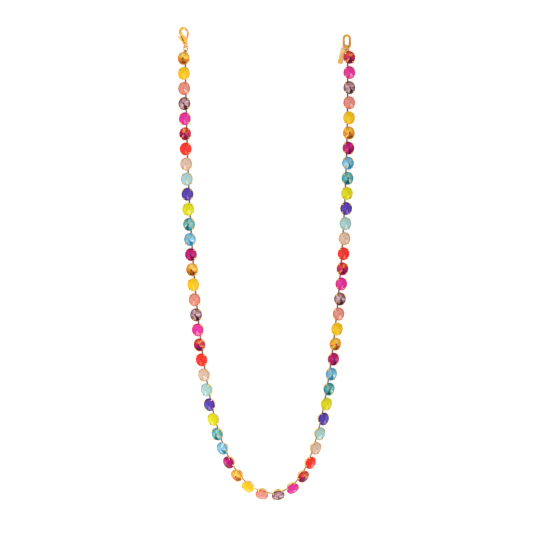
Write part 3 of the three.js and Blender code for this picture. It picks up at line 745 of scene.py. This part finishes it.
swollen = add(link_tree, "GeometryNodeSetCurveRadius", {"Curve": stations.outputs[0],
    "Radius": swell.outputs[0]})
section = add(link_tree, "GeometryNodeCurvePrimitiveCircle", {"Resolution": LINK_SIDES, "Radius": 1.0})
flat = add(link_tree, "ShaderNodeCombineXYZ", {"X": given.outputs["Half width"],
    "Y": given.outputs["Half thickness"], "Z": 1.0})
flat_section = add(link_tree, "GeometryNodeTransform", {"Geometry": section.outputs[0],
    "Scale": flat.outputs[0]})
bar = add(link_tree, "GeometryNodeCurveToMesh", {"Curve": swollen.outputs[0],
    "Profile Curve": flat_section.outputs[0], "Fill Caps": True})
turn_on_point = add(link_tree, "GeometryNodeInputNamedAttribute", {"Name": "turn"}, data_type="QUATERNION")
stretch = add(link_tree, "GeometryNodeInputNamedAttribute", {"Name": "stretch"}, data_type="FLOAT")
sizes = add(link_tree, "ShaderNodeCombineXYZ", {"X": stretch.outputs[0], "Y": 1.0, "Z": 1.0})
links_set = add(link_tree, "GeometryNodeInstanceOnPoints", {"Points": given.outputs["Geometry"],
    "Instance": bar.outputs[0], "Rotation": turn_on_point.outputs[0], "Scale": sizes.outputs[0]})
made = add(link_tree, "GeometryNodeRealizeInstances", {0: links_set.outputs[0]})
smooth = add(link_tree, "GeometryNodeSetShadeSmooth", {0: made.outputs[0]})
plated = add(link_tree, "GeometryNodeSetMaterial", {"Geometry": smooth.outputs[0],
    "Material": given.outputs["Finish"]})
add(link_tree, "NodeGroupOutput", {0: plated.outputs[0]})

# %% Set the links
BRIGHT_LINKS = 7


def link_place(k):
    """Where the link from cup k to the next one lies, and how long it is."""
    start, end = point_on(k, PIVOT_R), point_on(k + 1, -PIVOT_R)
    along = (end - start).normalized()
    face = (cup_places[k].col[2].xyz + cup_places[k + 1].col[2].xyz).normalized()
    across = face.cross(along).normalized()
    up = along.cross(across)
    turn = Matrix((along, across, up)).transposed().to_4x4()
    return Matrix.Translation((start + end) / 2) @ turn, (end - start).length


nominal = PITCH - 2 * PIVOT_R
links_by_body, moving = {}, 0
for k in range(CUP_COUNT - 1):
    if group_of_cup[k] == group_of_cup[k + 1]:
        body = body_of_cup(k)
    else:
        moving += 1
        body = f"chain_link_{moving:02d}"
    links_by_body.setdefault(body, []).append(k)
for body, numbers in links_by_body.items():
    spots = [link_place(k) for k in numbers]
    # Painted shade on each link: none round the bend, full on the straight runs.
    painted_shade_amount = [min(1.0, max(0.0, (abs(k + 0.5 - BEND_CENTRE) - BRIGHT_LINKS + 3) / 4)) for k in numbers]
    name = "link_bars_" + body
    base = marked_points(name, [place for place, length in spots], {"stretch": [length / nominal for place,
        length in spots], "painted_shade": painted_shade_amount})
    mesh = grow(name, link_tree, base, {"Length": nominal * MM, "Half width": LINK_HALF_WIDTH * MM,
        "Half thickness": LINK_HALF_THICK * MM, "Head swell": LINK_HEAD, "Finish": link_gold})
    piece = link_piece(name, mesh, body)
    if body.startswith("chain_link"):
        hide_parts(body)
print("link pieces:", len(links_by_body), "faces in a link:", len(mesh.polygons), "keeps dullness:",
    "painted_shade" in mesh.attributes)

# %% [markdown]
# ## Rings and the oval link
# Jump rings, the two end loops and the oval link are all round wire bent along a path with
# rounded corners. One tree draws them: a rectangle whose corners are rounded as far as its width
# allows is a ring when it is square and a long oval when it isn't.

# %% Wire ring tree
CORNER_POINTS, WIRE_SIDES = 12, 14
ring_tree, given = new_tree("wire_ring", [("Half width", "Float"), ("Half length", "Float"), ("Wire radius",
    "Float"), ("Finish", "Material")])
width = add(ring_tree, "ShaderNodeMath", {0: given.outputs["Half width"], 1: 2.0}, operation="MULTIPLY")
length = add(ring_tree, "ShaderNodeMath", {0: given.outputs["Half length"], 1: 2.0}, operation="MULTIPLY")
frame_path = add(ring_tree, "GeometryNodeCurvePrimitiveQuadrilateral", {"Width": width.outputs[0],
    "Height": length.outputs[0]})
corner = add(ring_tree, "ShaderNodeMath", {0: given.outputs["Half width"], 1: 0.999}, operation="MULTIPLY")
path = add(ring_tree, "GeometryNodeFilletCurve", {"Curve": frame_path.outputs[0], "Count": CORNER_POINTS,
    "Radius": corner.outputs[0]}, mode="POLY")
wire = add(ring_tree, "GeometryNodeCurvePrimitiveCircle", {"Resolution": WIRE_SIDES,
    "Radius": given.outputs["Wire radius"]})
tube = add(ring_tree, "GeometryNodeCurveToMesh", {"Curve": path.outputs[0],
    "Profile Curve": wire.outputs[0]})
made = add(ring_tree, "GeometryNodeRealizeInstances", {0: tube.outputs[0]})
smooth = add(ring_tree, "GeometryNodeSetShadeSmooth", {0: made.outputs[0]})
plated = add(ring_tree, "GeometryNodeSetMaterial", {"Geometry": smooth.outputs[0],
    "Material": given.outputs["Finish"]})
add(ring_tree, "NodeGroupOutput", {0: plated.outputs[0]})


def wire_ring(name, half_width, half_length, wire_radius, matrix, body, finish, *nodes):
    """Bends one ring of wire and puts it in its place."""
    mesh = grow(name, ring_tree, bpy.data.meshes.new(name + "_seed"), {"Half width": half_width * MM,
        "Half length": half_length * MM, "Wire radius": wire_radius * MM, "Finish": finish})
    mesh.transform(Matrix.Translation(matrix.translation * MM) @ matrix.to_3x3().to_4x4())
    piece = link_piece(name, mesh, body)
    if nodes:
        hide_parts(*nodes)
    return piece


# %% Bend the rings
LOOP_R, LOOP_WIRE, LOOP_REACH = 0.95, 0.28, 4.75
CLASP_RING_R, CLASP_RING_WIRE, CLASP_RING_LEAN = 1.9, 0.35, 52
END_RING_R, END_RING_WIRE, END_RING_LEAN = 1.85, 0.28, 60
OVAL_HALF_WIDTH, OVAL_HALF_LENGTH, OVAL_WIRE = 2.1, 4.2, 0.75
TAG_RING_R, TAG_RING_WIRE, TAG_RING_LEAN, TAG_RING_AT, TAG_RING_AIM = 1.85, 0.26, 49, 45, -120
UP_THE_TABLE = Vector((0, 1, 0))
CLASP_RING_FROM_LOOP, END_RING_FROM_LOOP = Vector((0.25, 2.0, -0.1)), Vector((0, 1.75, -0.04))
OVAL_FROM_RING, TAG_RING_FROM_OVAL = Vector((-0.5, 0.35, -0.2)), Vector((0.05, -0.33, -0.08))
OVAL_EXTRA = 0.04     # the wire is drawn this much thicker than its solid


def leaning(centre, direction, lean):
    """A ring's place: its plane holds the direction and leans over to one side."""
    turn = math.atan2(direction.y, direction.x) - math.pi / 2
    return (Matrix.Translation(centre) @ Matrix.Rotation(turn, 4, "Z") @ Matrix.Rotation(math.radians(lean),
        4, "Y"))


for end, side in ((0, -1), (CUP_COUNT - 1, 1)):
    loop_place = cup_places[end] @ Matrix.Translation((side * LOOP_REACH, 0, 0))
    wire_ring("end_loop_" + body_of_cup(end), LOOP_R, LOOP_R, LOOP_WIRE, loop_place, body_of_cup(end),
        wire_gold)

clasp_ring_centre = point_on(0, -LOOP_REACH) + CLASP_RING_FROM_LOOP
wire_ring("jump_ring_clasp", CLASP_RING_R, CLASP_RING_R, CLASP_RING_WIRE, leaning(clasp_ring_centre,
    UP_THE_TABLE, CLASP_RING_LEAN), "clasp_jump_ring", wire_gold, "clasp_jump_ring")
end_ring_centre = point_on(CUP_COUNT - 1, LOOP_REACH) + END_RING_FROM_LOOP
wire_ring("jump_ring_end", END_RING_R, END_RING_R, END_RING_WIRE, leaning(end_ring_centre, UP_THE_TABLE,
    -END_RING_LEAN), "end_jump_ring", wire_gold, "end_jump_ring")
oval_foot = end_ring_centre + OVAL_FROM_RING
oval_fall = -math.asin((oval_foot.z - OVAL_WIRE) / (2 * OVAL_HALF_LENGTH))
oval_place = (Matrix.Translation(oval_foot) @ Matrix.Rotation(oval_fall, 4, "X")
    @ Matrix.Translation((0, OVAL_HALF_LENGTH, 0)))
wire_ring("oval_link", OVAL_HALF_WIDTH, OVAL_HALF_LENGTH, OVAL_WIRE + OVAL_EXTRA, oval_place,
    "oval_end_link", oval_gold, "oval_end_link")
hook_way = math.radians(TAG_RING_AT)
tag_ring_centre = (oval_foot + OVAL_HALF_WIDTH * Vector((-math.sin(hook_way), 1 - math.cos(hook_way), 0))
    + TAG_RING_FROM_OVAL)
tag_aim = Vector((math.cos(math.radians(TAG_RING_AIM)), math.sin(math.radians(TAG_RING_AIM)), 0))
wire_ring("jump_ring_tag", TAG_RING_R, TAG_RING_R, TAG_RING_WIRE, leaning(tag_ring_centre, tag_aim,
    TAG_RING_LEAN), "tag_jump_ring", wire_gold, "tag_jump_ring")
for node in ("clasp_jump_ring", "end_jump_ring", "oval_end_link", "tag_jump_ring"):
    low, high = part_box(node)
    print(node, "middle", [round(c * 1000, 2) for c in (low + high) / 2])

# %% [markdown]
# ## The tag
# The tag is a thin plate of brass with a hole at its head and a foot of two shallow lobes. It is
# cut as a flat curve, given its thickness and a softened edge, and brushed along its length.

# %% Tag
TAG_WIDTH, TAG_LENGTH, TAG_THICK, TAG_CORNER = 3.5, 10.6, 0.5, 0.9
TAG_SCALLOP, TAG_HOLE_R, TAG_HOLE_INSET, TAG_PLAY = 0.6, 0.7, 1.08, 0.12


def arc(centre, radius, start, end, count):
    """Points on an arc, by degrees."""
    return [(centre[0] + radius * math.cos(math.radians(start + (end - start) * n / (count - 1))),
        centre[1] + radius * math.sin(math.radians(start + (end - start) * n / (count - 1))))
        for n in range(count)]


def pressed_plate(name, outlines, thickness, edge):
    """A flat plate from closed outlines, the first outside and the rest holes, with soft edges."""
    curve = bpy.data.curves.new(name, "CURVE")
    curve.dimensions = "2D"
    curve.fill_mode = "BOTH"
    for outline in outlines:
        spline = curve.splines.new("POLY")
        spline.points.add(len(outline) - 1)
        for point, (x, y) in zip(spline.points, outline):
            point.co = (x, y, 0, 1)
        spline.use_cyclic_u = True
    curve.extrude = thickness / 2 - edge
    curve.bevel_depth = edge
    curve.bevel_resolution = 3
    curve.offset = -edge
    holder = bpy.data.objects.new(name, curve)
    scene.collection.objects.link(holder)
    mesh = bpy.data.meshes.new_from_object(holder.evaluated_get(bpy.context.evaluated_depsgraph_get()))
    bpy.data.objects.remove(holder)
    bm = bmesh.new()
    bm.from_mesh(mesh)
    bmesh.ops.remove_doubles(bm, verts=bm.verts, dist=0.001)
    bmesh.ops.recalc_face_normals(bm, faces=bm.faces)
    bm.to_mesh(mesh)
    bm.free()
    mesh.name = name
    return mesh


half, head, foot = TAG_WIDTH / 2, TAG_HOLE_INSET, TAG_HOLE_INSET - TAG_LENGTH
lobes = []
for n in range(25):
    x = -half + TAG_WIDTH * n / 24
    lobes.append((x, foot - TAG_SCALLOP * 0.5 * abs(math.sin(2 * math.pi * n / 24))))
tag_outline = ([(-half, head - TAG_CORNER)] + lobes + arc((half - TAG_CORNER, head - TAG_CORNER),
    TAG_CORNER, 0, 90, 7) + arc((-half + TAG_CORNER, head - TAG_CORNER), TAG_CORNER, 90, 180, 7)[:-1])
tag_mesh = pressed_plate("tag_plate", [tag_outline, arc((0, 0), TAG_HOLE_R, 0, 345, 24)], TAG_THICK, 0.12)
shade_smooth(tag_mesh, 40)
tag_fall = math.asin((tag_ring_centre.z - TAG_THICK) / (TAG_LENGTH - TAG_HOLE_INSET))
tag_place = (Matrix.Translation(tag_ring_centre + tag_aim * (TAG_RING_R + TAG_PLAY))
    @ Matrix.Rotation(math.radians(-TAG_LEAN), 4, "Z") @ Matrix.Rotation(tag_fall, 4, "X"))
tag_mesh.transform(Matrix.Scale(MM, 4) @ tag_place)
tag_piece = link_piece("tag_plate", tag_mesh, "tag", brushed_gold)
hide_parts("tag")
low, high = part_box("tag")
own = [pick(vertex.co[axis] for vertex in tag_mesh.vertices) for pick in (min, max) for axis in range(3)]
print("tag box", [round(c * 1000, 2) for c in own], "solid", [round(c * 1000, 2) for c in (*low, *high)])

# %% [markdown]
# ## The lobster clasp
# The clasp is a cast teardrop hook with an eye at its foot. A sprung lever on a pin closes the
# hook's mouth, and its thumb tab stands out at the side. A narrow gap beside the lever shows the
# dark spring inside, and under the gap a flat dark steel sheet paints the shade in it. The body is
# cut from a smooth outline with well rounded edges, then the mouth, the gap, the lever's slot and
# the pin's hole are cut out of it.

# %% Clasp shapes
CLASP_THICK, CLASP_EDGE = 2.6, 0.55
CLASP_EYE_THICK, CLASP_EYE_R, CLASP_EYE_HOLE_R = 0.9, 1.5, 1.02
CLASP_SLOT, LEVER_THICK = 1.1, 0.86
LEVER_PIVOT = (-0.8, 2.2)
PIN_R, PIN_HOLE_R = 0.34, 0.42
CLASP_Z, CLASP_TURN = 1.65, 4
CLASP_FROM_RING = (0.25, 1.8)
CLASP_SHOULDER = CLASP_EYE_R * 0.62     # where the body grows to its full thickness
BODY_OUTLINE = [(0.95, -0.1), (0.95, 1.4), (0.9, 3.0), (1.35, 4.6), (2.15, 6.3), (2.55, 8.3), (2.15, 10.2),
    (1.05, 11.8), (-0.7, 12.8), (-2.5, 12.5), (-3.75, 11.2), (-4.2, 9.4), (-3.9, 7.8), (-3.1, 6.1),
    (-2.3, 4.4), (-2.0, 2.9), (-1.9, 1.6), (-1.25, 0.4), (-0.9, -0.3)]
HOOK_OPENING = [(0.6, 5.3), (-0.5, 6.3), (-1.6, 7.5), (-2.4, 8.8), (-2.5, 10.1), (-1.6, 11.2), (-0.3, 11.3),
    (0.8, 10.3), (1.35, 8.7), (1.2, 7.0)]
MOUTH = [(-0.35, 3.0), (2.6, 2.4), (2.6, 4.35), (0.8, 4.35), (0.8, 6.2), (-0.35, 6.2)]
LEVER_SLOT = [(-6, 1.15), (3, 1.15), (3, 4.3), (0.82, 4.35), (0.8, 6.6), (-2.0, 6.6), (-2.9, 6.9),
    (-6, 6.9)]
LEVER_OUTLINE = [(-1.45, 1.75), (-0.8, 1.4), (-0.1, 1.7), (0.45, 2.7), (0.62, 3.6), (0.64, 5.2), (0.2, 5.5),
    (-0.12, 5.0), (-0.3, 3.6), (-0.75, 2.95), (-1.4, 3.0), (-2.1, 3.9), (-3.1, 5.5), (-4.3, 6.35),
    (-4.9, 6.7), (-5.0, 6.3), (-4.2, 5.3), (-3.3, 4.0), (-2.5, 2.7)]
SPRING_GAP = [(-3.2, 6.5), (-2.5, 6.6), (-1.35, 4.3), (-0.98, 3.0), (-1.6, 2.9), (-2.12, 4.35)]
SPRING_LINE = [(-1.44, 3.34), (-1.28, 3.17), (-1.12, 3.3), (-1.32, 4.2), (-1.72, 5.2)]
# The last of these is the height of a flat dark sheet laid under the gap: painted shade.
SPRING_HALF_THICK, SPRING_HALF_WIDTH, GAP_SHADE_SHEET_Z = 0.07, LEVER_THICK * 0.4, (-0.53, -0.47)


def smooth_outline(points, per_span):
    """A closed smooth line through points."""
    line, count = [], len(points)
    for n in range(count):
        a, b, c, d = (Vector(points[(n + k) % count]) for k in (-1, 0, 1, 2))
        for step in range(per_span):
            t = step / per_span
            spot = 0.5 * (2 * b + (c - a) * t + (2 * a - 5 * b + 4 * c - d) * t * t + (3 * b - a - 3 * c
                + d) * t ** 3)
            line.append((spot.x, spot.y))
    return line


def prism(name, outline, low, high):
    """A straight block with a polygon outline, for cutting."""
    bm = bmesh.new()
    bottom = [bm.verts.new((x, y, low)) for x, y in outline]
    top = [bm.verts.new((x, y, high)) for x, y in outline]
    bm.faces.new(bottom)
    bm.faces.new(top)
    for k in range(len(outline)):
        after = (k + 1) % len(outline)
        bm.faces.new([bottom[k], bottom[after], top[after], top[k]])
    return closed_mesh(bm, name)


def shaped(mesh, tools, operation="DIFFERENCE"):
    """A mesh after cutting away, or adding, each of the tool meshes."""
    for tool in tools:
        work = bpy.data.objects.new("work", mesh)
        other = bpy.data.objects.new("tool", tool)
        for item in (work, other):
            scene.collection.objects.link(item)
        cut = work.modifiers.new("cut", "BOOLEAN")
        cut.object, cut.operation, cut.solver = other, operation, "EXACT"
        depsgraph = bpy.context.evaluated_depsgraph_get()
        mesh = bpy.data.meshes.new_from_object(work.evaluated_get(depsgraph))
        for item in (work, other):
            bpy.data.objects.remove(item)
    return mesh


clasp_place = (Matrix.Translation((clasp_ring_centre.x + CLASP_FROM_RING[0], clasp_ring_centre.y
    + CLASP_FROM_RING[1], CLASP_Z)) @ Matrix.Rotation(math.radians(CLASP_TURN), 4, "Z"))


def clasp_piece(name, mesh, body, finish, node, sharp=45):
    """Puts a clasp part in its place, as the piece for a solid."""
    shade_smooth(mesh, sharp)
    mesh.transform(Matrix.Scale(MM, 4) @ clasp_place)
    mesh.name = name
    piece = link_piece(name, mesh, body, finish)
    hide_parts(node)
    return piece


# %% Clasp body
body_mesh = pressed_plate("body", [smooth_outline(BODY_OUTLINE, 5), smooth_outline(HOOK_OPENING, 4)],
    CLASP_THICK, CLASP_EDGE)
foot_block = [(-3, -3), (3, -3), (3, CLASP_SHOULDER), (-3, CLASP_SHOULDER)]
body_mesh = shaped(body_mesh, [
    prism("trim_top", foot_block, CLASP_EYE_THICK / 2, CLASP_THICK),
    prism("trim_under", foot_block, -CLASP_THICK, -CLASP_EYE_THICK / 2)])
eye = pressed_plate("eye", [arc((0, 0), CLASP_EYE_R, 0, 350, 36)], CLASP_EYE_THICK, 0.2)
body_mesh = shaped(body_mesh, [eye], "UNION")
body_mesh = shaped(body_mesh, [
    prism("eye_hole", arc((0, 0), CLASP_EYE_HOLE_R, 0, 348, 30), -3, 3),
    prism("mouth", MOUTH, -3, 3),
    prism("spring_gap", SPRING_GAP, 0, 3),
    prism("lever_slot", LEVER_SLOT, -CLASP_SLOT / 2, CLASP_SLOT / 2),
    prism("pin_hole", arc(LEVER_PIVOT, PIN_HOLE_R, 0, 345, 24), -3, 3)])
print("clasp body faces:", len(body_mesh.polygons))
clasp_piece("clasp_hook_body", body_mesh, "clasp", cast_gold, "clasp_body")

# %% Clasp lever, spring and pin
lever_mesh = pressed_plate("lever", [smooth_outline(LEVER_OUTLINE, 3)], LEVER_THICK, 0.12)
lever_mesh = shaped(lever_mesh, [prism("hub_hole", arc(LEVER_PIVOT, PIN_HOLE_R, 0, 345, 24), -3, 3)])
tab = pressed_plate("tab", [[(-5.05, 5.95), (-4.15, 5.9), (-4.15, 6.75), (-5.05, 6.75)]],
    CLASP_THICK * 2 / 3, 0.15)
lever_mesh = shaped(lever_mesh, [tab], "UNION")
clasp_piece("clasp_thumb_lever", lever_mesh, "clasp_lever", cast_gold, "clasp_lever")

side_one, side_two = [], []
for n, (x, y) in enumerate(SPRING_LINE):
    before, after = SPRING_LINE[max(0, n - 1)], SPRING_LINE[min(len(SPRING_LINE) - 1, n + 1)]
    across = Vector((before[1] - after[1], after[0] - before[0])).normalized() * SPRING_HALF_THICK
    side_one.append((x + across.x, y + across.y))
    side_two.append((x - across.x, y - across.y))
spring_and_gap_shade_mesh = prism("spring", side_one + side_two[::-1], -SPRING_HALF_WIDTH, SPRING_HALF_WIDTH)
# A flat dark steel sheet in the outline of the gap joins the spring: painted shade in the gap.
spring_and_gap_shade_mesh = shaped(spring_and_gap_shade_mesh, [prism("gap_shade_sheet", SPRING_GAP, *GAP_SHADE_SHEET_Z)], "UNION")
clasp_piece("clasp_leaf_spring", spring_and_gap_shade_mesh, "clasp", pin_steel, "clasp_spring", 60)

PIN_PROFILE = [(0, -1.12), (0.2, -1.1), (PIN_R, -1.0), (PIN_R, 1.0), (0.2, 1.1), (0, 1.12)]
bm = bmesh.new()
rows = []
for radius, z in PIN_PROFILE:
    spots = arc(LEVER_PIVOT, radius, 0, 345, 24) if radius else [LEVER_PIVOT]
    rows.append([bm.verts.new((x, y, z)) for x, y in spots])
skin(bm, rows)
pin_mesh = closed_mesh(bm, "pin")
clasp_piece("clasp_rivet_pin", pin_mesh, "clasp", pin_steel, "clasp_pivot_pin")
